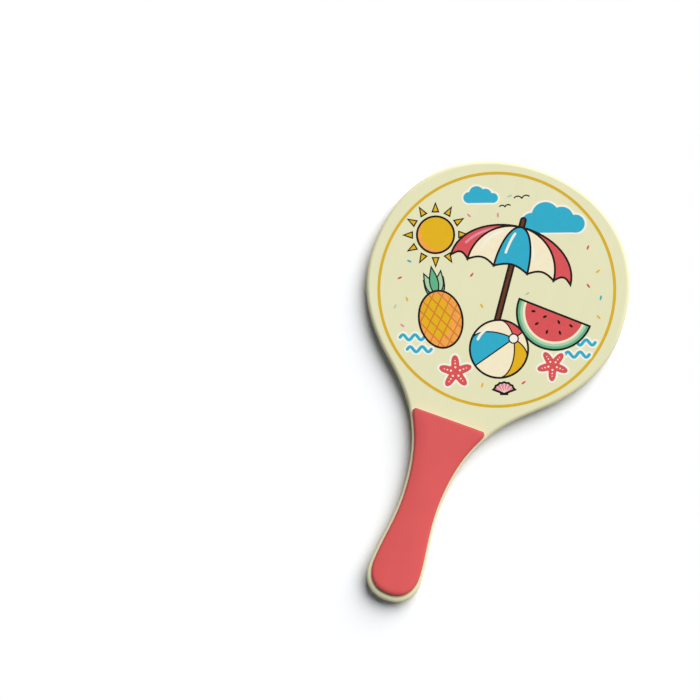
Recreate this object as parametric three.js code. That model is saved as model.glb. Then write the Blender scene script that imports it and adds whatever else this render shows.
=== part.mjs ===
// Frescobol racket, a beach bat: a round head and a flared handle cut as one outline from
// seven-ply board with eased edges, and a flat rubber grip scale bonded to each face of the
// handle. Millimetres. +X is across the face, +Y runs towards the top of the head, and +Z is
// square to the printed face. The racket lies with that face up. The origin is under the
// middle of the outline, in the plane of the lower scale's flat face.

import * as THREE from 'three';

// Head and shoulders of the board, measured from the middle of the head
const headTop = 107;
const headHalfWidth = 108.9;
const shoulderHalfWidth = 68.8;
const shoulderDrop = 81.4;
const shoulderSlope = THREE.MathUtils.degToRad(42.2);

// The handle, from the neck line where the grip scales begin to the end of the butt. Its
// waist and its flare are measured from the end of the butt.
const neckDrop = 115.5;
const handleLength = 157.9;
const waistHalfWidth = 16.75;
const waistRise = 82.1;
const flareHalfWidth = 22.75;
const flareRise = 21.6;
const buttEnd = -neckDrop - handleLength;

// Each curve leaves and reaches its stations with pulls that are shares of their distance
const headShares = [0.32, 0.52];
const shoulderShares = [0.39, 0.33];
const neckShares = [0.255, 0.545];
const handleShares = [0.31, 0.265];
const buttShares = [0.26, 0.585];

// Board thickness, from its plies, and the radius of its eased edges
const faceVeneer = 1;
const crossPly = 1.375;
const innerPly = 1.375;
const corePly = 1.5;
const edgeRadius = 3.25;

// Grip scales and the adhesive sheets under them, which reach a little over the eased edges
// and narrow towards the flare
const scaleThickness = 3.75;
const adhesiveThickness = 0.25;
const scaleOverhang = 1.35;
const scaleEndSetback = 4.6;
const scaleFlareTaper = 0.8;
const scaleEdgeRadius = 1.75;
const scaleFaceCornerRadius = 0.25;

// Steps along each curve of the half outline, round a scale's corner and over an eased edge
const curveSteps = [18, 12, 14, 8, 10];
const cornerSteps = 6;
const easingSteps = 3;

// The stations of the right half outline, with the butt drawn in by a setback and the flare
// narrowed by a taper
function stations(setback, taper) {
  const down = -Math.PI / 2;
  return [
    { place: new THREE.Vector2(0, headTop), heading: 0 },
    { place: new THREE.Vector2(headHalfWidth, 0), heading: down },
    { place: new THREE.Vector2(shoulderHalfWidth, -shoulderDrop), heading: shoulderSlope - Math.PI },
    { place: new THREE.Vector2(waistHalfWidth, buttEnd + waistRise), heading: down },
    { place: new THREE.Vector2(flareHalfWidth - taper, buttEnd + setback + flareRise), heading: down },
    { place: new THREE.Vector2(0, buttEnd + setback), heading: -Math.PI },
  ];
}

// A curve between two stations, tangent to the heading of each
function curveBetween(from, to, [leavingShare, arrivingShare]) {
  const distance = from.place.distanceTo(to.place);
  const pulled = ({ place, heading }, reach) => new THREE.Vector2(
    place.x + reach * Math.cos(heading),
    place.y + reach * Math.sin(heading),
  );
  return new THREE.CubicBezierCurve(
    from.place,
    pulled(from, distance * leavingShare),
    pulled(to, -distance * arrivingShare),
    to.place,
  );
}

// Points of the right half outline, from the top of the head to the middle of the butt
function halfOutline(setback, taper) {
  const places = stations(setback, taper);
  const pulls = [headShares, shoulderShares, neckShares, handleShares, buttShares];
  const stretches = pulls.map((shares, index) => (
    curveBetween(places[index], places[index + 1], shares).getPoints(curveSteps[index]).slice(1)
  ));
  return [places[0].place, ...stretches.flat()];
}

// A closed outline, counter-clockwise, from a right half that runs downwards. Its points on
// the centre line aren't repeated.
function mirrored(half) {
  const left = half.filter((point) => point.x > 0).map((point) => new THREE.Vector2(-point.x, point.y));
  return [...left, ...half.toReversed()];
}

// The outline moved inwards by a distance, with each corner kept a corner
function inset(outline, distance) {
  return outline.map((point, index) => {
    const before = outline.at(index - 1);
    const after = outline[(index + 1) % outline.length];
    const arriving = point.clone().sub(before).normalize();
    const leaving = after.clone().sub(point).normalize();
    const inwards = new THREE.Vector2(-arriving.y - leaving.y, arriving.x + leaving.x).normalize();
    return point.clone().addScaledVector(inwards, distance / arriving.cross(inwards));
  });
}

// A corner that turns clockwise, rounded by an arc
function roundedCorner(before, corner, after, radius) {
  const arms = [before, after].map((end) => end.clone().sub(corner).normalize());
  const halfAngle = Math.acos(arms[0].dot(arms[1])) / 2;
  const bisector = arms[0].clone().add(arms[1]).normalize();
  const centre = corner.clone().addScaledVector(bisector, radius / Math.sin(halfAngle));
  const start = corner.clone().addScaledVector(arms[0], radius / Math.tan(halfAngle));
  const sweep = Math.PI - 2 * halfAngle;
  return Array.from({ length: cornerSteps + 1 }, (_, step) => (
    start.clone().rotateAround(centre, -sweep * (step / cornerSteps))
  ));
}

// The outline of a grip scale: the handle's own, set in from the board's edge, with a
// straight edge and two rounded corners across the neck
function scaleOutline() {
  const half = halfOutline(scaleEndSetback, scaleFlareTaper);
  const setIn = inset(mirrored(half), edgeRadius - scaleOverhang);
  const side = setIn.slice(-half.length).toReversed();
  const next = side.findIndex((point) => point.y < -neckDrop);
  const share = (side[next - 1].y + neckDrop) / (side[next - 1].y - side[next].y);
  const corner = side[next - 1].clone().lerp(side[next], share);
  const middle = new THREE.Vector2(0, -neckDrop);
  const rounded = roundedCorner(middle, corner, side[next], scaleEdgeRadius + scaleFaceCornerRadius);
  return mirrored([...rounded, ...side.filter((point) => point.y < rounded.at(-1).y)]);
}

// How far an eased edge is drawn in at a depth below its face
function easing(depth, radius) {
  const rise = Math.max(radius - depth, 0);
  return radius - Math.sqrt(radius ** 2 - rise ** 2);
}

// The heights at which a layer's rim is drawn, from its bottom to its top
function rimHeights(bottom, top, easedFaces, radius) {
  const stops = easedFaces.flatMap((face) => (
    Array.from({ length: easingSteps }, (_, index) => {
      const turn = (Math.PI / 2) * ((index + 1) / easingSteps);
      const depth = radius * (1 - Math.cos(turn));
      return face > bottom ? face - depth : face + depth;
    })
  ));
  const inside = stops.filter((height) => height > bottom && height < top);
  return [bottom, ...inside.sort((a, b) => a - b), top];
}

// A flat layer of the outline between two heights, its rim eased towards the given faces
function layerGeometry(outline, bottom, top, easedFaces, radius) {
  const heights = rimHeights(bottom, top, easedFaces, radius);
  const rings = heights.map((height) => {
    const depth = Math.min(...easedFaces.map((face) => Math.abs(height - face)));
    return inset(outline, easing(depth, radius)).map(({ x, y }) => [x, y, height]);
  });
  const count = outline.length;
  const triangles = [];
  for (let ring = 0; ring + 1 < rings.length; ring += 1) {
    for (let index = 0; index < count; index += 1) {
      const here = ring * count + index;
      const beside = ring * count + ((index + 1) % count);
      triangles.push(here, beside, beside + count, here, beside + count, here + count);
    }
  }
  const lid = (ring) => THREE.ShapeUtils.triangulateShape(
    rings[ring].map(([x, y]) => new THREE.Vector2(x, y)),
    [],
  );
  const last = rings.length - 1;
  lid(0).forEach(([a, b, c]) => triangles.push(a, c, b));
  lid(last).forEach((face) => triangles.push(...face.map((index) => last * count + index)));
  const geometry = new THREE.BufferGeometry();
  geometry.setAttribute('position', new THREE.Float32BufferAttribute(rings.flat(2), 3));
  geometry.setIndex(triangles);
  geometry.computeVertexNormals();
  return geometry;
}

function finish(color, roughness) {
  return new THREE.MeshStandardMaterial({ color, roughness, metalness: 0 });
}

const creamPaint = () => finish('#e7e3b9', 0.5);
const paintedEdge = () => finish('#ddd8ab', 0.55);
const coralRubber = () => finish('#db5e5c', 0.75);
const clearAdhesive = () => finish('#cfc9b8', 0.4);

// The layers from the back scale's flat face up to the front scale's
function layers() {
  const board = mirrored(halfOutline(0, 0));
  const scale = scaleOutline();
  const gripThickness = scaleThickness + adhesiveThickness;
  const boardThickness = corePly + 2 * (innerPly + crossPly + faceVeneer);
  const boardFaces = [gripThickness, gripThickness + boardThickness];
  const topFace = boardFaces[1] + gripThickness;
  const ply = (name, thickness, finished) => ({
    name, thickness, finished, outline: board, easedFaces: boardFaces, radius: edgeRadius,
  });
  const grip = (name, thickness, finished, easedFaces) => ({
    name, thickness, finished, outline: scale, easedFaces, radius: scaleEdgeRadius,
  });
  return [
    grip('back_grip_scale', scaleThickness, coralRubber, [0]),
    grip('back_grip_adhesive', adhesiveThickness, clearAdhesive, []),
    ply('back_face_ply', faceVeneer, creamPaint),
    ply('back_cross_ply', crossPly, paintedEdge),
    ply('back_inner_ply', innerPly, paintedEdge),
    ply('core_ply', corePly, paintedEdge),
    ply('front_inner_ply', innerPly, paintedEdge),
    ply('front_cross_ply', crossPly, paintedEdge),
    ply('front_face_ply', faceVeneer, creamPaint),
    grip('front_grip_adhesive', adhesiveThickness, clearAdhesive, []),
    grip('front_grip_scale', scaleThickness, coralRubber, [topFace]),
  ];
}

// The racket: its layers piled face to face, with the origin under the middle of its length
function makeRacket() {
  const racket = new THREE.Group();
  racket.name = 'frescobol_racket';
  racket.position.y = -(headTop + buttEnd) / 2;
  let height = 0;
  layers().forEach(({ name, thickness, finished, outline, easedFaces, radius }) => {
    const top = height + thickness;
    const mesh = new THREE.Mesh(layerGeometry(outline, height, top, easedFaces, radius), finished());
    mesh.name = name;
    racket.add(mesh);
    height = top;
  });
  return racket;
}

export default makeRacket();
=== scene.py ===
import math

import bpy
import numpy as np
from mathutils import Matrix, Vector
from mathutils.geometry import delaunay_2d_cdt


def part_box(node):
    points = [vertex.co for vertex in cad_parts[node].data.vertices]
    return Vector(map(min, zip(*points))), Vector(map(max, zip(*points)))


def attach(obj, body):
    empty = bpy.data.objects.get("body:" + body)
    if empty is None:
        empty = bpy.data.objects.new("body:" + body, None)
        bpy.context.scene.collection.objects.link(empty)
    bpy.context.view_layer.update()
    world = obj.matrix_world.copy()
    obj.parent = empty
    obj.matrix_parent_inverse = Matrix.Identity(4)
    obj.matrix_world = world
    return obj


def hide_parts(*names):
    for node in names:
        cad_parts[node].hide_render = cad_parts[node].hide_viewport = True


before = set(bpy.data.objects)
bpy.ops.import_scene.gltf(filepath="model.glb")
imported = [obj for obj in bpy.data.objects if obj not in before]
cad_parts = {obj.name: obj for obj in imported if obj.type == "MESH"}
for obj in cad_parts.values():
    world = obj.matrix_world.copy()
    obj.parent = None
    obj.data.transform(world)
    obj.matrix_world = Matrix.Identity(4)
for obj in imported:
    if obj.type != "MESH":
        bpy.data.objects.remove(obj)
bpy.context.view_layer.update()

# A frescobol racket with its printed face up: seven painted plies, two coral grip scales on
# their adhesive sheets, and the inks of its prints. Lengths are in metres, apart from the
# prints, which are drawn in millimetres from the middle of the head. Angles are in radians.
MM = 0.001

# Places nearer to each other than this are the same
TOUCH = 0.001 * MM

PLIES = [
    "back_face_ply",
    "back_cross_ply",
    "back_inner_ply",
    "core_ply",
    "front_inner_ply",
    "front_cross_ply",
    "front_face_ply",
]

# The board's rim: the eased edges of both faces, which are eased less along the grip, and the
# fine line at each glue joint
EDGE_RADIUS = 3.25 * MM
GRIP_EDGE_RADIUS = 1.5 * MM
BUTT_BLEND = 16 * MM
NECK_BLEND = 14 * MM
GLUE_LINE_DEPTH = 0.04 * MM
GLUE_LINE_HALF_WIDTH = 0.14 * MM
GLUE_LINE_STEPS = 4
EASING_STEPS = 9

# Grip scales, crowned across the handle, with an edge that is softest round the butt and
# nearly square where they have been cut across the neck, with painted shade on that cut edge,
# the adhesive sheet that shows as a fine line under each, and how far both narrow towards the
# neck's corners
CROWN_HEIGHT = 1.6 * MM
CROWN_REACH = 14 * MM
SCALE_EDGE_HEIGHT = 1.9 * MM
SIDE_EDGE_WIDTH = 2.2 * MM
BUTT_EDGE_WIDTH = 4.8 * MM
NECK_EDGE_WIDTH = 0.4 * MM
NECK_PAINTED_SHADE_FACING = 0.7
SCALE_FOOT_RADIUS = 0.15 * MM
SHEET_SETBACK = 0.12 * MM
NECK_TAPER = 2.2 * MM
NECK_TAPER_REACH = 11 * MM

# Outlines are redrawn through the CAD points. A side longer than STRAIGHT_SIDE is straight.
# A flat face has a narrow border, and faces that meet at more than SHARP_ANGLE have a crease.
BOARD_SPACING = 1.4 * MM
SCALE_SPACING = 0.7 * MM
CROWN_SPACING = 1.5 * MM
STRAIGHT_SIDE = 15 * MM
FACE_BORDER = 0.4 * MM
SHARP_ANGLE = math.radians(40)

# Paint, rubber and adhesive
PAINT = "#e2dfb6"
EDGE_PAINT = "#e3d8a8"
CORAL = "#d65655"
# A darker coral for the cut faces at the neck: painted shade, which keeps that edge, though it faces
# the lamp, from showing brighter than the face
NECK_PAINTED_SHADE_CORAL = "#963a38"
ADHESIVE = "#cfc9b8"

# Inks, as thin layers on the faces
INK_HEIGHT = 0.05 * MM
INK_ROOT = 0.02 * MM
INKS = {
    "black": "#100805",
    "ring_yellow": "#d5ac25",
    "yellow": "#e0af1c",
    "sky_blue": "#30a9c4",
    "white": "#f2eedd",
    "cream": "#f3e6c4",
    "coral": "#d65355",
    "pink": "#de899c",
    "mint": "#a9cca6",
    "green": "#5faf84",
    "orange": "#efa04b",
    "amber": "#d17c33",
    "brown": "#62351d",
}
MOTTLES = {"orange": 0.09, "coral": 0.04, "amber": 0.05}
PLAIN_MOTTLE = 0.02

# Noise in the finishes: the low and the high value between which it shows, and for each
# finish the size of its features and its detail
NOISE_LOW = 0.3
NOISE_HIGH = 0.7
WOOD_PORES = (0.7 * MM, 3.0)
WOOD_FIGURE = (5 * MM, 2.0)
PAINT_SKIN = (1.3 * MM, 1.0)
PAINT_CLOUDING = (60 * MM, 3.0)
PAINT_SHEEN = (9 * MM, 4.0)
RUBBER_GRAIN = (0.45 * MM, 2.0)
RUBBER_BLOOM = (25 * MM, 4.0)
RUBBER_SHEEN = (6 * MM, 3.0)
RUBBER_SWELL = (7 * MM, 1.0)
SHEET_CLOUDING = (0.3 * MM, 3.0)
SHEET_SKIN = (0.2 * MM, 2.0)
INK_CLOUDING = (4 * MM, 4.0)
INK_SHEEN = (4 * MM, 3.0)

# How far the wood's marks are drawn out across and along its grain
PORE_STRETCH = (1, 40)
FIGURE_STRETCH = (1.25, 11)

# How deep the noise goes as relief
PORE_DEPTH = 0.012 * MM
FIGURE_DEPTH = 0.03 * MM
PAINT_SKIN_DEPTH = 0.012 * MM
RUBBER_GRAIN_DEPTH = 0.015 * MM
RUBBER_SWELL_DEPTH = 0.02 * MM
SHEET_SKIN_DEPTH = 0.01 * MM

# The share by which it makes a colour darker and lighter
FIGURE_SHARE = 0.008
PAINT_CLOUDING_SHARE = 0.012
RUBBER_GRAIN_SHARE = 0.012
RUBBER_BLOOM_SHARE = 0.02
SHEET_CLOUDING_SHARE = 0.06

# Roughness, from the smoothest to the roughest places, and specular level
PAINT_ROUGHNESS = (0.4, 0.5)
RUBBER_ROUGHNESS = (0.58, 0.68)
INK_ROUGHNESS = (0.42, 0.52)
SHEET_ROUGHNESS = 0.35
PAINT_SPECULAR = 0.2
RUBBER_SPECULAR = 0.25
INK_SPECULAR = 0.08

# The prints, in millimetres
RING_RADIUS = 97.5
RING_WIDTH = 2.4
LINE_WIDTH = 1.7
FINE_LINE_WIDTH = 1.1
WAVE_LINE_WIDTH = 2.6
BACK_WAVE_LINE_WIDTH = 7
HALO_WIDTH = 1.6
CURVE_SPACING = 1.0
SMALLEST_GAP = 0.0001

# The least count of points round an oval and of steps along a wave, and the steps round the
# end of a line. Where an outline is moved, a sharp corner of it moves at most 1 / SHARPEST_JOIN
# times as far.
FEWEST_OVAL_POINTS = 12
FEWEST_WAVE_STEPS = 24
CAP_STEPS = 6
SHARPEST_JOIN = 0.4

# The camera stands where the photograph was taken from, and holds the print upright
CAMERA_PLACE = Vector((-11.67, -44.29, 1011.53)) * MM
CAMERA_AIM = Vector((-97.51, -5.41, 13.06)) * MM
UPRIGHT_TURN = math.radians(19.79)
CAMERA_LENS = 61.714

# Light: a large soft lamp beyond the head on the right, and a faint cool fill
KEY_HEADING = math.radians(72)
KEY_HEIGHT = math.radians(42)
KEY_ANGLE = math.radians(54)
KEY_STRENGTH = 4.53
FILL_STRENGTH = 0.05
FILL_COLOUR = (0.7, 0.92, 1.3, 1)
FLOOR_REACH = 3


def easing(depth, radius):
    """How far an eased edge is drawn in at a depth below its face."""
    rise = max(radius - depth, 0)
    return radius - math.sqrt(radius ** 2 - rise ** 2)


def easing_depths(radius):
    """Depths below a face at which an eased edge turns by equal angles."""
    turns = [math.pi / 2 * step / EASING_STEPS for step in range(1, EASING_STEPS + 1)]
    return [radius * (1 - math.cos(turn)) for turn in turns]


def cad_half_rim(node):
    """The widest rim of a CAD layer, right of the centre line, from its top down."""
    corners = [vertex.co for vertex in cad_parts[node].data.vertices]
    height = max(corners, key=lambda corner: corner.x).z
    level = [c for c in corners if c.x > -TOUCH and abs(c.z - height) < TOUCH]
    places = {(round(max(c.x, 0) / TOUCH), round(c.y / TOUCH)) for c in level}
    return [Vector(place) * TOUCH for place in sorted(places, key=lambda p: (-p[1], p[0]))]


def mirrored(half):
    """A closed outline, counter-clockwise, from a right half that runs downwards."""
    left = [Vector((-point.x, point.y)) for point in half if point.x > TOUCH]
    return left + half[::-1]


def beside(outline):
    """Each point of a closed outline with the points before and after it."""
    return zip(outline[-1:] + outline[:-1], outline, outline[1:] + outline[:1])


def tangent(before, here, after, straight):
    """The direction of a smooth curve at a point, or of the straight side that ends there."""
    arriving, leaving = here - before, after - here
    near, far = arriving.length, leaving.length
    if near > straight:
        return arriving / near
    if far > straight:
        return leaving / far
    return (arriving * (far / near) + leaving * (near / far)) / (near + far)


def redrawn(outline, spacing, straight=math.inf):
    """A smooth closed curve through an outline's points. Its long sides stay straight."""
    tangents = [tangent(*points, straight) for points in beside(outline)]
    drawn = []
    for index, here in enumerate(outline):
        after = (index + 1) % len(outline)
        side = outline[after] - here
        steps = max(1, round(side.length / spacing))
        for share in (step / steps for step in range(steps)):
            if side.length > straight:
                drawn.append(here + side * share)
                continue
            rest = 1 - share
            pull = tangents[index] * share * rest ** 2 - tangents[after] * share ** 2 * rest
            drawn.append(here + side * share ** 2 * (3 - 2 * share) + pull * side.length)
    return drawn


def inward_steps(outline):
    """What moves each point of a counter-clockwise outline inwards by one unit."""
    steps = []
    for before, here, after in beside(outline):
        arriving = (here - before).normalized()
        leaving = (after - here).normalized()
        inward = Vector((-arriving.y - leaving.y, arriving.x + leaving.x)).normalized()
        opening = arriving.x * inward.y - arriving.y * inward.x
        steps.append(inward / max(opening, SHARPEST_JOIN))
    return steps


def grown(outline, distance):
    """An outline moved outwards by a distance, or inwards where it is negative."""
    return [point - step * distance for point, step in zip(outline, inward_steps(outline))]


def make_piece(name, vertices, faces, flat_faces):
    """A mesh piece of the racket, smooth apart from its flat faces."""
    mesh = bpy.data.meshes.new(name)
    mesh.from_pydata(vertices, [], faces)
    mesh.polygons.foreach_set("use_smooth", [i not in flat_faces for i in range(len(faces))])
    mesh.set_sharp_from_angle(angle=SHARP_ANGLE)
    mesh.update()
    piece = bpy.data.objects.new(name, mesh)
    bpy.context.scene.collection.objects.link(piece)
    return piece


def walls(total, count):
    """Faces that join rings of points in turn, each ring with a count of the total."""
    faces = []
    for first in range(0, total - count, count):
        for index in range(count):
            here, there = first + index, first + (index + 1) % count
            faces.append((here, there, there + count, here + count))
    return faces


def make_layer(name, outline, heights, inset_at):
    """A closed layer of an outline, its rim drawn in by inset_at(height, point)."""
    levels = [(heights[0], FACE_BORDER), *((height, 0) for height in heights)]
    levels.append((heights[-1], FACE_BORDER))
    steps = inward_steps(outline)
    count = len(outline)
    vertices = []
    for height, border in levels:
        for point, step in zip(outline, steps):
            vertices.append((*(point + step * (inset_at(height, point) + border)), height))
    faces = walls(len(vertices), count)
    last = len(vertices) - count
    lids = (len(faces), len(faces) + 1)
    faces.append(tuple(range(count - 1, -1, -1)))
    faces.append(tuple(range(last, last + count)))
    return make_piece(name, vertices, faces, lids)


def heights_between(low, high, stops):
    """The heights of a layer's rim: its own faces, and the stops between them."""
    inside = sorted(stop for stop in stops if low + TOUCH < stop < high - TOUCH)
    return [low, *inside, high]


def keep(piece, slot, material, *nodes):
    """Gives a piece its place in the racket and its material, and hides the nodes it stands for."""
    piece.data.materials.append(material)
    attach(piece, "root")
    if nodes:
        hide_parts(*nodes)


class Nodes:
    """A new material with one shader, and short calls for the nodes that feed it."""

    def __init__(self, name, **sockets):
        self.material = bpy.data.materials.new(name)
        self.material.use_nodes = True
        self.tree = self.material.node_tree
        self.shader = self.tree.nodes["Principled BSDF"]
        for socket, value in sockets.items():
            self.shader.inputs[socket.replace("_", " ")].default_value = value

    def add(self, kind, inputs=None, **settings):
        """Adds a node, sets it up, and links or fills the inputs that are given."""
        node = self.tree.nodes.new(kind)
        for setting, value in settings.items():
            setattr(node, setting, value)
        for socket, value in (inputs or {}).items():
            if isinstance(value, bpy.types.NodeSocket):
                self.tree.links.new(value, node.inputs[socket])
            else:
                node.inputs[socket].default_value = value
        return node

    def noise(self, size, detail, stretch=(1, 1, 1)):
        """Noise of a feature size in metres, drawn out along the axes by a stretch."""
        place = self.add("ShaderNodeTexCoord").outputs["Object"]
        scale = [1 / (size * factor) for factor in stretch]
        mapped = self.add("ShaderNodeMapping", {"Vector": place, "Scale": scale})
        inputs = {"Vector": mapped.outputs["Vector"], "Scale": 1.0, "Detail": detail}
        return self.add("ShaderNodeTexNoise", inputs).outputs["Fac"]

    def ranged(self, value, low, high):
        """A value of a noise brought to a range."""
        inputs = {
            "Value": value,
            "From Min": NOISE_LOW,
            "From Max": NOISE_HIGH,
            "To Min": low,
            "To Max": high,
        }
        return self.add("ShaderNodeMapRange", inputs).outputs["Result"]

    def shaded(self, colour, value, spread):
        """A colour made darker and lighter by a share, after a value."""
        inputs = {
            "Color": colour if isinstance(colour, bpy.types.NodeSocket) else hex_colour(colour),
            "Value": self.ranged(value, 1 - spread, 1 + spread),
        }
        return self.add("ShaderNodeHueSaturation", inputs).outputs["Color"]

    def bump(self, height, distance, below=None):
        """A bump of a distance in metres, on top of another where one is given."""
        inputs = {"Height": height, "Distance": distance, "Strength": 1.0}
        if below:
            inputs["Normal"] = below
        return self.add("ShaderNodeBump", inputs).outputs["Normal"]

    def finish(self, **sockets):
        """Links what has been made to the shader, and gives the material."""
        for socket, output in sockets.items():
            self.tree.links.new(output, self.shader.inputs[socket.replace("_", " ")])
        return self.material


def hex_colour(text):
    """A colour written in sRGB as #rrggbb, in linear light."""
    values = [int(text[start:start + 2], 16) / 255 for start in (1, 3, 5)]
    linear = [v / 12.92 if v <= 0.04045 else ((v + 0.055) / 1.055) ** 2.4 for v in values]
    return (*linear, 1)


def wood_relief(nodes, grain):
    """The wood's figure as a value, and a relief of it, its pores and the skin over them."""
    turn = 1 if grain == "along" else -1
    pores = nodes.noise(*WOOD_PORES, (*PORE_STRETCH[::turn], 1))
    figure = nodes.noise(*WOOD_FIGURE, (*FIGURE_STRETCH[::turn], 1))
    relief = nodes.bump(pores, PORE_DEPTH)
    relief = nodes.bump(figure, FIGURE_DEPTH, relief)
    return figure, nodes.bump(nodes.noise(*PAINT_SKIN), PAINT_SKIN_DEPTH, relief)


def painted_wood(name, grain, paint):
    """Satin cream paint over wood, sprayed on and very lightly telegraphing the grain."""
    nodes = Nodes(name + "_paint", Specular_IOR_Level=PAINT_SPECULAR)
    figure, relief = wood_relief(nodes, grain)
    colour = nodes.shaded(paint, nodes.noise(*PAINT_CLOUDING), PAINT_CLOUDING_SHARE)
    colour = nodes.shaded(colour, figure, FIGURE_SHARE)
    roughness = nodes.ranged(nodes.noise(*PAINT_SHEEN), *PAINT_ROUGHNESS)
    return nodes.finish(Base_Color=colour, Roughness=roughness, Normal=relief)


def coral_rubber(name, colour=CORAL):
    """Smooth moulded rubber with a fine matt grain and a faint bloom."""
    nodes = Nodes(name + "_rubber", Specular_IOR_Level=RUBBER_SPECULAR)
    grain = nodes.noise(*RUBBER_GRAIN)
    colour = nodes.shaded(colour, nodes.noise(*RUBBER_BLOOM), RUBBER_BLOOM_SHARE)
    colour = nodes.shaded(colour, grain, RUBBER_GRAIN_SHARE)
    roughness = nodes.ranged(nodes.noise(*RUBBER_SHEEN), *RUBBER_ROUGHNESS)
    relief = nodes.bump(nodes.noise(*RUBBER_SWELL), RUBBER_SWELL_DEPTH)
    relief = nodes.bump(grain, RUBBER_GRAIN_DEPTH, relief)
    return nodes.finish(Base_Color=colour, Roughness=roughness, Normal=relief)


def adhesive(name):
    """A clear mounting sheet, a little cloudy where it has been cut."""
    nodes = Nodes(name + "_sheet", Roughness=SHEET_ROUGHNESS)
    colour = nodes.shaded(ADHESIVE, nodes.noise(*SHEET_CLOUDING), SHEET_CLOUDING_SHARE)
    relief = nodes.bump(nodes.noise(*SHEET_SKIN), SHEET_SKIN_DEPTH)
    return nodes.finish(Base_Color=colour, Normal=relief)


def ink_finish(ink):
    """Screen ink on the paint, which shows the wood under it and covers a little unevenly."""
    nodes = Nodes(ink + "_ink", Specular_IOR_Level=INK_SPECULAR)
    _, relief = wood_relief(nodes, "along")
    mottle = MOTTLES.get(ink, PLAIN_MOTTLE)
    colour = nodes.shaded(INKS[ink], nodes.noise(*INK_CLOUDING), mottle)
    roughness = nodes.ranged(nodes.noise(*INK_SHEEN), *INK_ROUGHNESS)
    return nodes.finish(Base_Color=colour, Roughness=roughness, Normal=relief)


def add_plies():
    """The seven plies, each a layer of the board with its part of the eased rim."""
    outline = redrawn(mirrored(cad_half_rim("core_ply")), BOARD_SPACING, STRAIGHT_SIDE)
    boxes = [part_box(node) for node in PLIES]
    back, front = boxes[0][0].z, boxes[-1][1].z
    glue_lines = [high.z for _, high in boxes[:-1]]
    stops = []
    for depth in easing_depths(EDGE_RADIUS):
        stops += [back + depth, front - depth]
    for step in range(1, GLUE_LINE_STEPS + 1):
        offset = GLUE_LINE_HALF_WIDTH * step / GLUE_LINE_STEPS
        stops += [line + side * offset for line in glue_lines for side in (-1, 1)]

    # The radius of the eased edges at places along the racket
    low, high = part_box("front_grip_scale")
    places = [low.y, low.y + BUTT_BLEND, high.y - NECK_BLEND, high.y]
    radii = [EDGE_RADIUS, GRIP_EDGE_RADIUS, GRIP_EDGE_RADIUS, EDGE_RADIUS]

    def inset_at(height, point):
        depth = max(min(height - back, front - height), 0)
        nearness = 1 - min(abs(height - line) for line in glue_lines) / GLUE_LINE_HALF_WIDTH
        radius = np.interp(point.y, places, radii)
        return easing(depth, radius) + GLUE_LINE_DEPTH * max(nearness, 0) ** 2

    for number, (node, (low, high)) in enumerate(zip(PLIES, boxes)):
        heights = heights_between(low.z, high.z, stops)
        piece = make_layer(node + "_painted", outline, heights, inset_at)
        slot, paint = ("painted_face", PAINT) if "face" in node else ("painted_edge", EDGE_PAINT)
        grain = "across" if number % 2 else "along"
        keep(piece, slot, painted_wood(node, grain, paint), node)


def grip_outline(side):
    """The outline of a grip scale and its sheet, narrowed a little to the neck's corners."""
    rim = mirrored(cad_half_rim(side + "_grip_adhesive"))
    outline = redrawn(rim, SCALE_SPACING, STRAIGHT_SIDE)
    neck = max(point.y for point in outline)
    taper = NECK_TAPER / max(point.x for point in outline)
    narrowed = []
    for point in outline:
        nearness = max(1 - (neck - point.y) / NECK_TAPER_REACH, 0)
        narrowed.append(Vector((point.x * (1 - taper * nearness ** 2), point.y)))
    return narrowed


def side_widths(outline):
    """Heights along the handle, upwards, and a scale's half width at each, without its ends."""
    half = sorted((point for point in outline if point.x > TOUCH), key=lambda point: point.y)
    middle = (half[0].y + half[-1].y) / 2
    flare = max((point for point in half if point.y < middle), key=lambda point: point.x)
    neck = max((point for point in half if point.y > middle), key=lambda point: point.x)
    side = [point for point in half if flare.y <= point.y <= neck.y]
    return [point.y for point in side], [point.x for point in side]


def crown_drop(place, widths):
    """How far a scale's face has fallen towards its sides at a place."""
    reach = (np.interp(place.y, *widths) - abs(place.x)) / CROWN_REACH
    return CROWN_HEIGHT * (1 - min(max(reach, 0), 1)) ** 2


def edge_width(step):
    """How wide a scale's rounded edge is, by the direction of its outline's inward step."""
    facing = step.normalized().y
    end = BUTT_EDGE_WIDTH if facing > 0 else NECK_EDGE_WIDTH
    return SIDE_EDGE_WIDTH + (end - SIDE_EDGE_WIDTH) * facing ** 2


def filled(ring, spacing):
    """Even points inside a ring, and triangles of the ring's points and of these."""
    reach = max(max(abs(place.x), abs(place.y)) for place in ring)
    steps = np.arange(-math.ceil(reach / spacing), math.ceil(reach / spacing) + 1) * spacing
    grid = np.array([(x, y) for y in steps for x in steps])
    inside = grid[wound_round(grown(ring, -spacing / 2), grid)]
    corners = ring + [Vector(place) for place in inside]
    edges = list(zip(range(len(ring)), [*range(1, len(ring)), 0]))
    _, _, triangles, origins, _, _ = delaunay_2d_cdt(corners, edges, [], 1, TOUCH)
    return corners[len(ring):], [tuple(origins[c][0] for c in corner) for corner in triangles]


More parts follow.
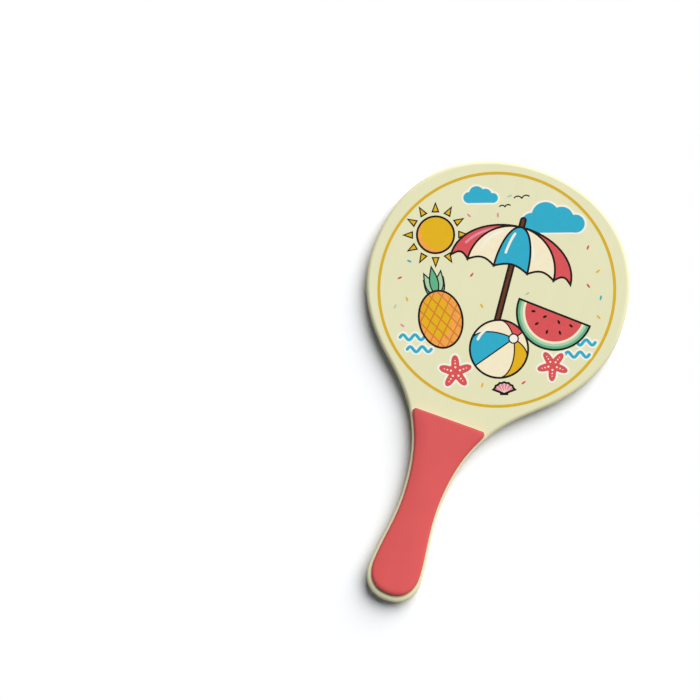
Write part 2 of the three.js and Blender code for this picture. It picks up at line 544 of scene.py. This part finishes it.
def add_scale(side, outwards):
    """A grip scale: a crowned face, a soft edge and a foot that is slightly eased."""
    node = side + "_grip_scale"
    outline = grip_outline(side)
    low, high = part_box(node)
    outer, foot = (high.z, low.z) if outwards > 0 else (low.z, high.z)
    steps = inward_steps(outline)
    widths = side_widths(outline)

    def on_face(place, depth):
        return (*place, outer - outwards * (crown_drop(place, widths) + depth))

    # Rings of points round the flat foot and its eased edge, then over the soft edge to the face
    vertices = []
    for depth in (-FACE_BORDER, 0, *easing_depths(SCALE_FOOT_RADIUS)):
        inset = easing(max(depth, 0), SCALE_FOOT_RADIUS) - min(depth, 0)
        height = foot + outwards * max(depth, 0)
        vertices += [(*(point + step * inset), height) for point, step in zip(outline, steps)]
    for depth in (*easing_depths(SCALE_EDGE_HEIGHT)[::-1], 0):
        share = easing(depth, SCALE_EDGE_HEIGHT) / SCALE_EDGE_HEIGHT
        ring = [point + step * edge_width(step) * share for point, step in zip(outline, steps)]
        vertices += [on_face(place, depth) for place in ring]
    count = len(outline)
    side_faces = walls(len(vertices), count)
    faces = [tuple(range(count - 1, -1, -1)), *side_faces]
    # The side faces at the neck, where the scale is cut, numbered after the foot's face. They take the
    # darker coral, painted shade on that edge.
    cut = [i + 1 for i in range(len(side_faces)) if steps[i % count].y < -NECK_PAINTED_SHADE_FACING]
    inside, triangles = filled(ring, CROWN_SPACING)
    last = len(vertices) - count
    vertices += [on_face(place, 0) for place in inside]
    faces += [tuple(last + corner for corner in triangle) for triangle in triangles]
    if outwards < 0:
        faces = [face[::-1] for face in faces]
    piece = make_piece(node + "_moulded", vertices, faces, (0,))
    keep(piece, "grip_rubber", coral_rubber(node), node)
    # The darker coral on the cut faces at the neck is painted shade
    piece.data.materials.append(coral_rubber(node + "_cut", NECK_PAINTED_SHADE_CORAL))
    for number in cut:
        piece.data.polygons[number].material_index = 1


def add_sheet(side):
    """The adhesive sheet under a grip scale, cut just short of the scale's edge."""
    node = side + "_grip_adhesive"
    outline = grip_outline(side)
    low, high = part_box(node)
    piece = make_layer(node + "_sheet", outline, [low.z, high.z], lambda height, point: SHEET_SETBACK)
    keep(piece, "adhesive", adhesive(node), node)


def heading(angle, length=1):
    """A step in a direction, anticlockwise from across the face."""
    return Vector((length * math.cos(angle), length * math.sin(angle)))


def even_turns(count, start=0, sweep=2 * math.pi):
    """Angles that share a sweep evenly, from its start on."""
    return [start + sweep * index / count for index in range(count)]


def oval(middle, width, height=None, turn=0):
    """An oval by its full width and height, or a circle by its diameter."""
    height = width if height is None else height
    count = max(FEWEST_OVAL_POINTS, round(math.pi * max(width, height) / CURVE_SPACING))
    spin = Matrix.Rotation(turn, 2)
    halves = [(width / 2 * math.cos(t), height / 2 * math.sin(t)) for t in even_turns(count)]
    return [Vector(middle) + spin @ Vector(half) for half in halves]


def stroke(points, width):
    """A line of even width with round ends along points in millimetres."""
    ahead = [(there - here).normalized() for here, there in zip(points, points[1:])]
    inside = [(one + other).normalized() for one, other in zip(ahead, ahead[1:])]
    along = [ahead[0], *inside, ahead[-1]]
    half = width / 2
    right = [point + Vector((step.y, -step.x)) * half for point, step in zip(points, along)]
    left = [point - Vector((step.y, -step.x)) * half for point, step in zip(points, along)]
    caps = []
    for end, step in ((points[-1], along[-1]), (points[0], -along[0])):
        first = math.atan2(step.y, step.x) - math.pi / 2
        caps.append([end + heading(t, half) for t in even_turns(CAP_STEPS, first, math.pi)[1:]])
    return right + caps[0] + left[::-1] + caps[1]


def placed(points, at, turn=0, size=1):
    """Points of a motif, sized, turned and moved to their place in the print."""
    spin = Matrix.Rotation(turn, 2)
    return [Vector(at) + spin @ (Vector(point) * size) for point in points]


def wound_round(shape, points):
    """Which of the points a shape goes round anticlockwise."""
    x, y = points[:, :1], points[:, 1:]
    here = np.array(shape)
    there = np.roll(here, -1, axis=0)
    (from_x, from_y), (to_x, to_y) = here.T, there.T
    left = (to_x - from_x) * (y - from_y) - (x - from_x) * (to_y - from_y)
    upward = (from_y <= y) & (y < to_y) & (left > 0)
    downward = (to_y <= y) & (y < from_y) & (left < 0)
    return upward.sum(axis=1) > downward.sum(axis=1)


class Print:
    """Flat shapes laid over one another in inks, the later ones on top."""

    def __init__(self):
        self.shapes = []
        self.layers = []

    def fill(self, ink, shape, within=None):
        """Lays a shape in an ink, where asked only within a shape laid before."""
        self.shapes.append(shape)
        self.layers.append((ink, len(self.shapes) - 1, within))
        return len(self.shapes) - 1

    def outlined(self, ink, shape, line=LINE_WIDTH):
        """Lays a shape with a black line along its edge."""
        self.fill("black", grown(shape, line / 2))
        return self.fill(ink, grown(shape, -line / 2))

    def haloed(self, ink, shape):
        """Lays a shape on a pale halo."""
        self.fill("white", grown(shape, HALO_WIDTH))
        return self.fill(ink, shape)

    def visible(self):
        """The corners of all shapes, and for each ink the triangles of it that show."""
        corners, edges = [], []
        for shape in self.shapes:
            ring = range(len(corners), len(corners) + len(shape))
            edges.extend(zip(ring, [*ring[1:], ring[0]]))
            corners.extend(shape)
        places, _, triangles, _, _, _ = delaunay_2d_cdt(corners, edges, [], 0, SMALLEST_GAP)
        middles = np.array(places)[np.array(triangles)].mean(axis=1)
        covers = [wound_round(shape, middles) for shape in self.shapes]
        top = np.full(len(triangles), -1)
        for number, (_, shape, within) in enumerate(self.layers):
            top[covers[shape] if within is None else covers[shape] & covers[within]] = number
        shown = {}
        for triangle, number in zip(triangles, top):
            if number >= 0 and self.layers[number][0]:
                shown.setdefault(self.layers[number][0], []).append(tuple(triangle))
        return places, shown


def lay_print(artwork, name, middle, turn, face, outwards):
    """Makes each ink of a print a thin closed layer on a face of the board."""
    places, shown = artwork.visible()
    root, top = face - outwards * INK_ROOT, face + outwards * INK_HEIGHT
    for ink, triangles in shown.items():
        used = sorted({corner for triangle in triangles for corner in triangle})
        number = {corner: index for index, corner in enumerate(used)}
        ground = [middle + place for place in placed([places[c] for c in used], (0, 0), turn, MM)]
        vertices = [(*place, top) for place in ground] + [(*place, root) for place in ground]
        tops = [tuple(number[corner] for corner in triangle) for triangle in triangles]
        edges = {edge for lid in tops for edge in zip(lid, lid[1:] + lid[:1])}
        count = len(used)
        faces = tops + [tuple(corner + count for corner in lid[::-1]) for lid in tops]
        faces += [(a, a + count, b + count, b) for a, b in sorted(edges) if (b, a) not in edges]
        if outwards < 0:
            faces = [lid[::-1] for lid in faces]
        piece = make_piece(f"{name}_{ink}", vertices, faces, range(len(faces)))
        keep(piece, "painted_face", ink_finish(ink))


# Motifs of the print. Their shapes are drawn about their own middles at size 1, so a value
# named share or shares is a share of the motif's size. Each motif takes its place, its turn
# where it has one, and its size in millimetres.

# The cloud: its puffs, each by its middle and its width, and the corners of its base
CLOUD_PUFF_SHARES = [
    ((-0.95, 0), 0.9),
    ((-0.35, 0.32), 1.2),
    ((0.35, 0.18), 1.05),
    ((0.95, -0.05), 0.8),
]
CLOUD_BASE_SHARES = [(-1.0, -0.44), (1.0, -0.44), (1.0, 0.1), (-1.0, 0.1)]

# The sun: its rays, the corners of the one that points right, and the middle of its light part
SUN_RAYS = 12
SUN_RAY_SHARES = [(1.25, -0.17), (1.72, 0), (1.25, 0.17)]
SUN_LIGHT_SHARES = (0.2, 0.18)

# The umbrella: where its ribs end along the hem, the inks of the gores between them, the
# scallops of the hem, the pole, and the glint on each gore
CANOPY_TIP_SHARES = [-1, -0.72, -0.28, 0.28, 0.72, 1]
CANOPY_INKS = ["coral", "cream", "sky_blue", "cream", "coral"]
CANOPY_HEIGHT_SHARE = 0.72
SCALLOP_SHARE = 0.09
CANOPY_RIB_STEPS = 16
HEM_STEPS = 8
POLE_SHARES = [(0, 0.84), (0, -1.45)]
POLE_WIDTH_SHARE = 0.08
GLINT_INKS = {"coral": "pink", "sky_blue": "white", "cream": "white"}
GLINT_SIDE_SHARE = 0.2
GLINT_REACH_SHARE = 0.93
GLINT_WIDTH_SHARE = 0.04
GLINT_STEPS = slice(5, 13)

# The ball: the inks of its panels, how far its button is turned from the front, and its glint
BALL_INKS = ["coral", "cream", "sky_blue", "cream", "yellow", "cream"]
BALL_TILT = math.radians(38)
SEAM_STEPS = 10
PANEL_EDGE_STEPS = 12
BUTTON_SHARE = 0.32
BALL_GLINT_REACH_SHARE = 0.8
BALL_GLINT_WIDTH_SHARE = 0.09
BALL_GLINT_START = 2.0
BALL_GLINT_SWEEP = 0.8
BALL_GLINT_STEPS = 8

# The watermelon: the layers inside its rind, each by its ink and its width, and its rows of
# seeds, each by its distance from the middle and its count
MELON_STEPS = 40
MELON_LAYER_SHARES = [("mint", 1.82), ("cream", 1.68), ("coral", 1.56)]
SEED_ROW_SHARES = [(0.56, 5), (0.28, 2)]
SEED_LENGTH_SHARE = 0.12
SEED_WIDTH_SHARE = 0.065

# The pineapple: its body and the light part of it, its lattice, and its leaves from the
# hindmost on, each by its lean, its length and its ink
PINEAPPLE_WIDTH_SHARE = 1.5
PINEAPPLE_HEIGHT_SHARE = 2.0
PINEAPPLE_LIGHT_SHARES = (-0.14, 0.1)
PINEAPPLE_LIGHT_WIDTH_SHARE = 1.0
PINEAPPLE_LIGHT_HEIGHT_SHARE = 1.5
LATTICE_LINES = range(-4, 5)
LATTICE_STEP_SHARE = 0.36
LATTICE_LEAN_SHARE = 0.9
LATTICE_REACH_SHARE = 1.3
LEAF_ROOT_SHARES = (0, 0.86)
LEAF_WIDTH_SHARE = 0.3
LEAF_BEND_SHARE = 0.25
LEAF_FULLNESS = 0.8
LEAF_STEPS = 12
LEAF_SHARES = [
    (0.9, 0.62, "green"),
    (-0.9, 0.62, "green"),
    (0.5, 0.85, "mint"),
    (-0.5, 0.85, "mint"),
    (0, 1.0, "green"),
]

# The starfish: how far its edge swings out and in, and the dots down each arm, each by its
# distance from the middle and its width
STAR_ARMS = 5
STAR_DEPTH_SHARE = 0.28
STAR_DOT_SHARES = [(0.28, 0.13), (0.5, 0.1), (0.68, 0.07)]

# The shell: its fan, the dips of its edge between its ribs, its hinge, and the line of a rib
SHELL_SWEEP = math.radians(140)
SHELL_RIBS = 6
SHELL_STEPS = 42
SHELL_SCALLOP_SHARE = 0.06
SHELL_ROOT_SHARES = (0, -0.02)
SHELL_HINGE_SHARES = [(-0.3, 0.1), (-0.3, -0.08), (0.3, -0.08), (0.3, 0.1)]
SHELL_RIB_SHARES = (0.12, 0.86)
SHELL_RIB_WIDTH_SHARE = 0.05

# The waves of the sea. A wave's height is in millimetres, from the middle of its line.
SEA_WAVE_HEIGHT = 2.2
SEA_WAVE_COUNT = 2

# The gull: its tilt, its wings, and the part of an arch that each wing follows
GULL_TILT = 0.1
WING_SPAN_SHARE = 0.5
WING_HEIGHT_SHARE = 0.45
WING_DROP_SHARE = 0.15
WING_START = 0.35
WING_SWEEP = 2.3
WING_STEPS = 10


def lay_ring(artwork):
    """The ring round the print."""
    outer = artwork.fill("ring_yellow", oval((0, 0), 2 * RING_RADIUS + RING_WIDTH))
    artwork.fill(None, oval((0, 0), 2 * RING_RADIUS - RING_WIDTH), outer)


def lay_cloud(artwork, at, size):
    """A puffy cloud on a pale halo."""
    for ink, extra in (("white", HALO_WIDTH), ("sky_blue", 0)):
        for middle, width in CLOUD_PUFF_SHARES:
            artwork.fill(ink, oval(placed([middle], at, 0, size)[0], width * size + 2 * extra))
        artwork.fill(ink, grown(placed(CLOUD_BASE_SHARES, at, 0, size), extra))


def lay_sun(artwork, at, size):
    """A round sun in a crown of short pointed rays."""
    for turn in even_turns(SUN_RAYS):
        ray = placed(SUN_RAY_SHARES, at, turn, size)
        artwork.outlined("yellow", ray, FINE_LINE_WIDTH)
    disc = artwork.outlined("orange", oval(at, 2 * size))
    light = placed([SUN_LIGHT_SHARES], at, 0, size)[0]
    artwork.fill("yellow", oval(light, 2 * size), disc)


def canopy_rib(share):
    """A rib of the umbrella, from its top to its tip at a share of the half width."""
    turns = even_turns(CANOPY_RIB_STEPS, 0, math.pi / 2) + [math.pi / 2]
    return [(share * math.sin(turn), CANOPY_HEIGHT_SHARE * math.cos(turn)) for turn in turns]


def lay_umbrella(artwork, at, turn, size):
    """A beach umbrella with striped gores and a scalloped hem."""
    pole = placed(POLE_SHARES, at, turn, size)
    artwork.fill("black", stroke(pole, POLE_WIDTH_SHARE * size + LINE_WIDTH))
    artwork.fill("brown", stroke(pole, POLE_WIDTH_SHARE * size - LINE_WIDTH))
    for left, right, ink in zip(CANOPY_TIP_SHARES, CANOPY_TIP_SHARES[1:], CANOPY_INKS):
        shares = [step / HEM_STEPS for step in range(1, HEM_STEPS)]
        hem = [(left + (right - left) * s, SCALLOP_SHARE * math.sin(math.pi * s)) for s in shares]
        gore = canopy_rib(left) + hem + canopy_rib(right)[:0:-1]
        cloth = artwork.outlined(ink, placed(gore, at, turn, size))
        rib = canopy_rib(left * (1 - GLINT_SIDE_SHARE) + right * GLINT_SIDE_SHARE)
        glint = [Vector(point) * GLINT_REACH_SHARE for point in rib[GLINT_STEPS]]
        line = stroke(placed(glint, at, turn, size), GLINT_WIDTH_SHARE * size)
        artwork.fill(GLINT_INKS[ink], line, cloth)


def meridian(longitude):
    """A seam of the ball, from its button to its edge, as it is seen from the front."""
    reach = math.atan2(math.cos(BALL_TILT), math.sin(BALL_TILT) * math.cos(longitude))
    seam = []
    for angle in [*even_turns(SEAM_STEPS, 0, reach), reach]:
        lean = math.cos(angle) * math.sin(BALL_TILT)
        spread = math.sin(angle) * math.cos(longitude) * math.cos(BALL_TILT)
        seam.append((lean + spread, math.sin(angle) * math.sin(longitude)))
    return seam


def lay_ball(artwork, at, turn, size):
    """A beach ball in curved panels that meet at a button."""
    ball = artwork.outlined("cream", oval(at, 2 * size))
    seams = [meridian(longitude) for longitude in even_turns(len(BALL_INKS))]
    for first, second, ink in zip(seams, seams[1:] + seams[:1], BALL_INKS):
        start, end = (math.atan2(seam[-1][1], seam[-1][0]) for seam in (first, second))
        turns = even_turns(PANEL_EDGE_STEPS, start, (end - start) % (2 * math.pi))[1:]
        panel = first + [heading(t) for t in turns] + second[:0:-1]
        artwork.fill(ink, placed(panel, at, turn, size), ball)
    for seam in seams:
        artwork.fill("black", stroke(placed(seam, at, turn, size), FINE_LINE_WIDTH), ball)
    button = placed(seams[0][:1], at, turn, size)[0]
    artwork.outlined("white", oval(button, BUTTON_SHARE * size), FINE_LINE_WIDTH)
    turns = even_turns(BALL_GLINT_STEPS, BALL_GLINT_START, BALL_GLINT_SWEEP)
    glint = placed([heading(t, BALL_GLINT_REACH_SHARE) for t in turns], at, 0, size)
    artwork.fill("white", stroke(glint, BALL_GLINT_WIDTH_SHARE * size))


def lay_melon(artwork, at, turn, size):
    """A slice of watermelon with its rind and its seeds."""
    arc = [heading(t) for t in even_turns(MELON_STEPS, math.pi, math.pi)] + [Vector((1, 0))]
    cut = artwork.outlined("green", placed(arc, at, turn, size))
    for ink, width in MELON_LAYER_SHARES:
        artwork.fill(ink, oval(at, width * size), cut)
    for reach, count in SEED_ROW_SHARES:
        for step in even_turns(count, math.pi, math.pi):
            bearing = step + math.pi / 2 / count
            seed = placed([heading(bearing, reach)], at, turn, size)[0]
            length, width = SEED_LENGTH_SHARE * size, SEED_WIDTH_SHARE * size
            artwork.fill("black", oval(seed, length, width, bearing + turn), cut)


def leaf(length, width, bend):
    """A pointed leaf that rises from the origin and bends to one side."""
    shares = [step / LEAF_STEPS for step in range(LEAF_STEPS + 1)]
    spine = [Vector((bend * s ** 2, length * s)) for s in shares]
    half = [width / 2 * math.sin(math.pi * s ** LEAF_FULLNESS) for s in shares]
    right = [point + Vector((h, 0)) for point, h in zip(spine, half)]
    left = [point - Vector((h, 0)) for point, h in zip(spine, half)]
    return right + left[-2:0:-1]


def lay_pineapple(artwork, at, turn, size):
    """A pineapple with a crown of leaves and a diamond lattice."""
    root = placed([LEAF_ROOT_SHARES], at, turn, size)[0]
    for lean, length, ink in LEAF_SHARES:
        shape = leaf(length, LEAF_WIDTH_SHARE, -LEAF_BEND_SHARE * lean)
        artwork.outlined(ink, placed(shape, root, turn - lean, size), FINE_LINE_WIDTH)
    width, height = PINEAPPLE_WIDTH_SHARE * size, PINEAPPLE_HEIGHT_SHARE * size
    body = artwork.outlined("orange", oval(at, width, height, turn))
    light = placed([PINEAPPLE_LIGHT_SHARES], at, turn, size)[0]
    width, height = PINEAPPLE_LIGHT_WIDTH_SHARE * size, PINEAPPLE_LIGHT_HEIGHT_SHARE * size
    artwork.fill("yellow", oval(light, width, height, turn), body)
    for side in (-1, 1):
        lean = side * LATTICE_LEAN_SHARE
        for middle in (step * LATTICE_STEP_SHARE for step in LATTICE_LINES):
            ends = [(middle - lean, -LATTICE_REACH_SHARE), (middle + lean, LATTICE_REACH_SHARE)]
            artwork.fill("amber", stroke(placed(ends, at, turn, size), FINE_LINE_WIDTH), body)


def star(size, turn):
    """A plump star with rounded arms."""
    turns = even_turns(round(2 * math.pi * size / CURVE_SPACING))
    waves = [STAR_DEPTH_SHARE * math.cos(STAR_ARMS * t) for t in turns]
    return [heading(t + turn, size * (1 - STAR_DEPTH_SHARE + w)) for t, w in zip(turns, waves)]


def lay_starfish(artwork, at, turn, size):
    """A starfish on a pale halo, with a row of dots down each arm."""
    artwork.haloed("coral", placed(star(size, turn), at))
    for arm in even_turns(STAR_ARMS, turn):
        for reach, width in STAR_DOT_SHARES:
            artwork.fill("cream", oval(Vector(at) + heading(arm, reach * size), width * size))


def lay_shell(artwork, at, size):
    """A scallop shell with ribs from its hinge to its wavy edge."""
    start = (math.pi - SHELL_SWEEP) / 2
    edge = []
    for angle in [*even_turns(SHELL_STEPS, start, SHELL_SWEEP), start + SHELL_SWEEP]:
        scallop = abs(math.sin((angle - start) / SHELL_SWEEP * SHELL_RIBS * math.pi))
        edge.append(heading(angle, 1 - SHELL_SCALLOP_SHARE * scallop))
    artwork.outlined("pink", placed(SHELL_HINGE_SHARES, at, 0, size), FINE_LINE_WIDTH)
    fan = artwork.outlined("pink", placed([SHELL_ROOT_SHARES, *edge], at, 0, size))
    for rib in even_turns(SHELL_RIBS, start, SHELL_SWEEP)[1:]:
        line = placed([heading(rib, reach) for reach in SHELL_RIB_SHARES], at, 0, size)
        artwork.fill("cream", stroke(line, SHELL_RIB_WIDTH_SHARE * size), fan)


def wavy(at, width, height, count):
    """Points of a wavy line of a width, by the height and the count of its waves."""
    steps = max(FEWEST_WAVE_STEPS, round(width / CURVE_SPACING))
    shares = [step / steps for step in range(steps + 1)]
    return placed([(width * (s - 0.5), height * math.sin(2 * math.pi * count * s)) for s in shares], at)


def lay_wave(artwork, at, width):
    """A wavy line of the sea on a pale halo."""
    line = wavy(at, width, SEA_WAVE_HEIGHT, SEA_WAVE_COUNT)
    artwork.fill("white", stroke(line, WAVE_LINE_WIDTH + 2 * HALO_WIDTH))
    artwork.fill("sky_blue", stroke(line, WAVE_LINE_WIDTH))


def lay_gull(artwork, at, size):
    """A gull far off, as two arched wings."""
    for side in (-1, 1):
        wing = []
        for turn in even_turns(WING_STEPS, WING_START, WING_SWEEP):
            across = side * WING_SPAN_SHARE * (1 - math.cos(turn))
            wing.append((across, WING_HEIGHT_SHARE * math.sin(turn) - WING_DROP_SHARE))
        artwork.fill("black", stroke(placed(wing, at, GULL_TILT, size), FINE_LINE_WIDTH))


# The layout of the front print, from the lowest layer up: the ink, the place and the turn of
# each sprinkle, and each motif with its place, its turn where it has one, and its size
SPRINKLE_LENGTH = 4.2
SPRINKLE_WIDTH = 1.7
SPRINKLES = [
    ("coral", (-80, 10), 0.4), ("yellow", (-74, -8), 1.9), ("mint", (-84, -14), 1.1),
    ("yellow", (84, 14), 0.7), ("coral", (76, 2), 2.2), ("sky_blue", (86, -8), 1.4),
    ("pink", (-22, 62), 2.4), ("mint", (12, 78), 0.3), ("coral", (76, 34), 1.2),
    ("sky_blue", (-72, 24), 2.7), ("coral", (-20, 12), 0.9), ("yellow", (-12, -14), 2.1),
    ("mint", (26, -4), 0.5), ("pink", (-78, -30), 2.5), ("coral", (22, -78), 0.6),
    ("yellow", (-12, -80), 1.3), ("pink", (2, 62), 1.6), ("yellow", (84, -24), 2.3),
]
MOTIFS = [
    (lay_cloud, (48, 55), 19),
    (lay_cloud, (-12, 77), 10.5),
    (lay_gull, (22, 76), 7),
    (lay_gull, (8, 69), 5),
    (lay_sun, (-50, 46), 15.5),
    (lay_wave, (-70, -40), 20),
    (lay_wave, (-64, -50), 20),
    (lay_wave, (71, -45), 20),
    (lay_wave, (66, -55), 20),
    (lay_umbrella, (12, 16), math.radians(-15), 51),
    (lay_pineapple, (-46, -25), math.radians(10), 24),
    (lay_melon, (48, -20), math.radians(-22), 31),
    (lay_ball, (2, -50), math.radians(35), 24),
    (lay_starfish, (-34, -69), math.radians(20), 14),
    (lay_starfish, (46, -64), math.radians(50), 13),
    (lay_shell, (6, -87), 9.5),
]

# The waves on the back: the place, the width, the height and the count of each
BACK_WAVES = [((0, 9), 96, 4, 4), ((0, -9), 48, 4, 2)]


def front_print():
    """Beach things in a ring."""
    artwork = Print()
    lay_ring(artwork)
    for ink, at, turn in SPRINKLES:
        artwork.fill(ink, oval(at, SPRINKLE_LENGTH, SPRINKLE_WIDTH, turn))
    for lay_motif, *placing in MOTIFS:
        lay_motif(artwork, *placing)
    return artwork


def back_print():
    """Two plain waves across the middle of the head."""
    artwork = Print()
    for wave in BACK_WAVES:
        artwork.fill("ring_yellow", stroke(wavy(*wave), BACK_WAVE_LINE_WIDTH))
    return artwork


def add_prints():
    """The print of each face, about the middle of the head."""
    rim = cad_half_rim("core_ply")
    head = Vector((0, max(rim, key=lambda point: point.x).y))
    front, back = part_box("front_face_ply")[1].z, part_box("back_face_ply")[0].z
    lay_print(front_print(), "print", head, UPRIGHT_TURN, front, 1)
    lay_print(back_print(), "back_print", head, 0, back, -1)


def add_floor():
    """A plain pale floor under the back scale."""
    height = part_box("back_grip_scale")[0].z
    sides = ((-1, -1), (1, -1), (1, 1), (-1, 1))
    corners = [(x * FLOOR_REACH, y * FLOOR_REACH, height) for x, y in sides]
    floor = bpy.data.objects.new("floor", bpy.data.meshes.new("floor"))
    floor.data.from_pydata(corners, [], [(0, 1, 2, 3)])
    bpy.context.scene.collection.objects.link(floor)
    nodes = Nodes("floor", Base_Color=(1, 1, 1, 1), Roughness=1.0, Specular_IOR_Level=0.0)
    floor.data.materials.append(nodes.material)


def add_lamp():
    """A large soft lamp beyond the head on the right."""
    lamp = bpy.data.lights.new("key", "SUN")
    lamp.energy = KEY_STRENGTH
    lamp.angle = KEY_ANGLE
    key = bpy.data.objects.new("key", lamp)
    towards = Vector((*heading(KEY_HEADING, math.cos(KEY_HEIGHT)), math.sin(KEY_HEIGHT)))
    key.rotation_euler = towards.to_track_quat("Z", "Y").to_euler()
    bpy.context.scene.collection.objects.link(key)


def add_world():
    """An even fill from all round, and white where the camera or a reflection sees it."""
    world = bpy.data.worlds.new("studio")
    bpy.context.scene.world = world
    world.use_nodes = True
    tree = world.node_tree
    fill = tree.nodes["Background"]
    backdrop = tree.nodes.new("ShaderNodeBackground")
    fill.inputs["Color"].default_value = FILL_COLOUR
    fill.inputs["Strength"].default_value = FILL_STRENGTH
    backdrop.inputs["Color"].default_value = (1, 1, 1, 1)
    path = tree.nodes.new("ShaderNodeLightPath")
    seen = path.outputs["Is Camera Ray"]
    for ray in ("Is Glossy Ray", "Is Transmission Ray"):
        either = tree.nodes.new("ShaderNodeMath")
        either.operation = "MAXIMUM"
        tree.links.new(seen, either.inputs[0])
        tree.links.new(path.outputs[ray], either.inputs[1])
        seen = either.outputs["Value"]
    mix = tree.nodes.new("ShaderNodeMixShader")
    tree.links.new(seen, mix.inputs["Fac"])
    tree.links.new(fill.outputs["Background"], mix.inputs[1])
    tree.links.new(backdrop.outputs["Background"], mix.inputs[2])
    tree.links.new(mix.outputs["Shader"], tree.nodes["World Output"].inputs["Surface"])


def add_camera():
    """The camera at the photograph's place."""
    ahead = (CAMERA_AIM - CAMERA_PLACE).normalized()
    upright = Vector((-math.sin(UPRIGHT_TURN), math.cos(UPRIGHT_TURN), 0))
    right = ahead.cross(upright).normalized()
    turn = Matrix((right, right.cross(ahead), -ahead)).transposed()
    camera = bpy.data.objects.new("camera", bpy.data.cameras.new("camera"))
    camera.data.lens = CAMERA_LENS
    camera.matrix_world = Matrix.LocRotScale(CAMERA_PLACE, turn, None)
    bpy.context.scene.collection.objects.link(camera)
    bpy.context.scene.camera = camera


bpy.context.scene.view_settings.view_transform = "Standard"
add_plies()
for side, outwards in (("back", -1), ("front", 1)):
    add_sheet(side)
    add_scale(side, outwards)
add_prints()
add_floor()
add_lamp()
add_world()
add_camera()
